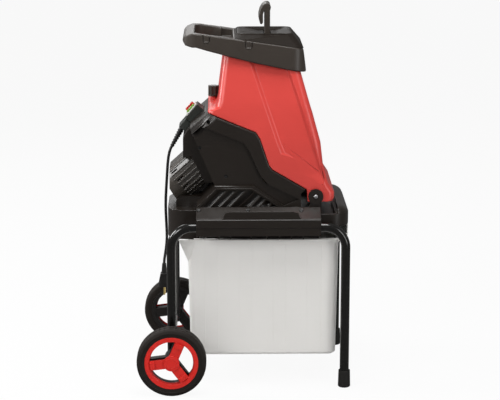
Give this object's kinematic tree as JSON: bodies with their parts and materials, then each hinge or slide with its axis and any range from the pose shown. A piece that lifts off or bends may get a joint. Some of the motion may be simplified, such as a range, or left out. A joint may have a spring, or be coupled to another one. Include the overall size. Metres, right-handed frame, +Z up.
{
  "type": "garden shredder",
  "caption": "Electric garden shredder on a wheeled tube stand, with a tilting hopper, a geared knife disc and a pull-out collection box.",
  "frame": {"origin": "on the floor at the middle of the footprint", "axes": "+Z up, +X to the front where the box pulls out, -Y to the side with the pictured face"},
  "size_m": [0.514, 0.496, 0.914],
  "materials": {
    "tube_black": "gloss black powder coat on steel tube",
    "foot_rubber": "matt black rubber",
    "steel": "plain steel",
    "tyre": "matt hard tyre",
    "wheel_black": "moulded black plastic",
    "red_plastic": "satin red moulding",
    "deck_black": "fine-grained black moulding",
    "collar_black": "fine-grained black-brown moulding",
    "box_clear": "translucent milky plastic",
    "cast_aluminium": "die-cast",
    "copper": "enamelled copper",
    "lamination": "stacked laminations",
    "fan_plastic": "moulded plastic",
    "brass_parts": "pressed brass",
    "black_steel": "blackened steel",
    "carbon": "carbon",
    "switch_grey": "dark grey moulding",
    "bezel_pale": "pale grey moulding",
    "button_green": "green moulding",
    "button_red": "red moulding",
    "cord_black": "black rubber sheath"
  },
  "bodies": {
    "base": {"right_leg_frame": "tube_black", "left_leg_frame": "tube_black", "foot_caps": "foot_rubber", "axle": "steel", "axle_retainers": "steel", "deck": "deck_black", "right_side_panel": "deck_black", "left_side_panel": "deck_black", "panel_screws": "steel", "frame_bolts": "steel", "right_housing": "deck_black", "left_housing": "deck_black", "housing_screws": "black_steel", "hinge_pins": "steel", "motor_cover": "deck_black", "bulkhead": "cast_aluminium", "motor_plate": "cast_aluminium", "spindle_bearings": "steel", "counter_knife": "steel", "stator": "lamination", "field_coils": "copper", "brush_holders": "brass_parts", "brushes": "carbon", "motor_bearings": "steel", "switch_box": "switch_grey", "inlet_block": "switch_grey", "switch_bezel": "bezel_pale", "strain_relief": "cord_black", "mains_cord": "cord_black", "mains_plug": "cord_black", "plug_pins": "brass_parts"},
    "right_wheel": {"right_tyre": "tyre", "right_wheel_core": "wheel_black", "right_wheel_cover": "red_plastic"},
    "left_wheel": {"left_tyre": "tyre", "left_wheel_core": "wheel_black", "left_wheel_cover": "red_plastic"},
    "box": {"collection_box": "box_clear"},
    "cutter": {"spindle": "steel", "cutting_disc": "steel", "knives": "steel", "knife_screws": "steel", "disc_nut": "steel", "drive_gear": "steel"},
    "rotor": {"motor_shaft": "steel", "armature": "copper", "commutator": "copper", "motor_fan": "fan_plastic"},
    "on_button": {"on_button": "button_green"},
    "off_button": {"off_button": "button_red"},
    "hopper": {"hopper": "red_plastic", "collar": "collar_black", "feed_funnel": "collar_black", "feed_chute": "deck_black"},
    "pusher": {"pusher": "collar_black"},
    "knob": {"lock_knob": "collar_black", "lock_screw": "steel"}
  },
  "joints": [
    {"name": "hopper_tilt", "type": "hinge", "parent": "base", "child": "hopper", "pos_m": [0.171, 0, 0.466], "axis": [0, 1, 0], "range_deg": [0, 75]},
    {"name": "knob_turn", "type": "hinge", "parent": "hopper", "child": "knob", "pos_m": [-0.072, 0, 0.7], "axis": [0, 0, 1], "continuous": true},
    {"name": "pusher_lift", "type": "slide", "parent": "hopper", "child": "pusher", "axis": [0, 0, 1], "range_m": [0, 0.22]},
    {"name": "box_slide", "type": "slide", "parent": "base", "child": "box", "axis": [1, 0, 0], "range_m": [0, 0.34]},
    {"name": "right_wheel_spin", "type": "hinge", "parent": "base", "child": "right_wheel", "pos_m": [-0.174, 0, 0.083], "axis": [0, 1, 0], "continuous": true},
    {"name": "left_wheel_spin", "type": "hinge", "parent": "base", "child": "left_wheel", "pos_m": [-0.174, 0, 0.083], "axis": [0, 1, 0], "continuous": true},
    {"name": "cutter_spin", "type": "hinge", "parent": "base", "child": "cutter", "pos_m": [-0.008, 0, 0.557], "axis": [0.7431, 0, 0.6691], "continuous": true},
    {"name": "rotor_spin", "type": "hinge", "parent": "base", "child": "rotor", "pos_m": [-0.03811, 0, 0.59044], "axis": [0.7431, 0, 0.6691], "continuous": true},
    {"name": "on_press", "type": "slide", "parent": "base", "child": "on_button", "axis": [0.7547, 0, -0.6561], "range_m": [0, 0.003], "stiffness_N_per_m": 400},
    {"name": "off_press", "type": "slide", "parent": "base", "child": "off_button", "axis": [0.7547, 0, -0.6561], "range_m": [0, 0.003], "stiffness_N_per_m": 400}
  ],
  "couplings": [
    {"joint": "rotor_spin", "follows": "cutter_spin", "ratio": -4}
  ]
}
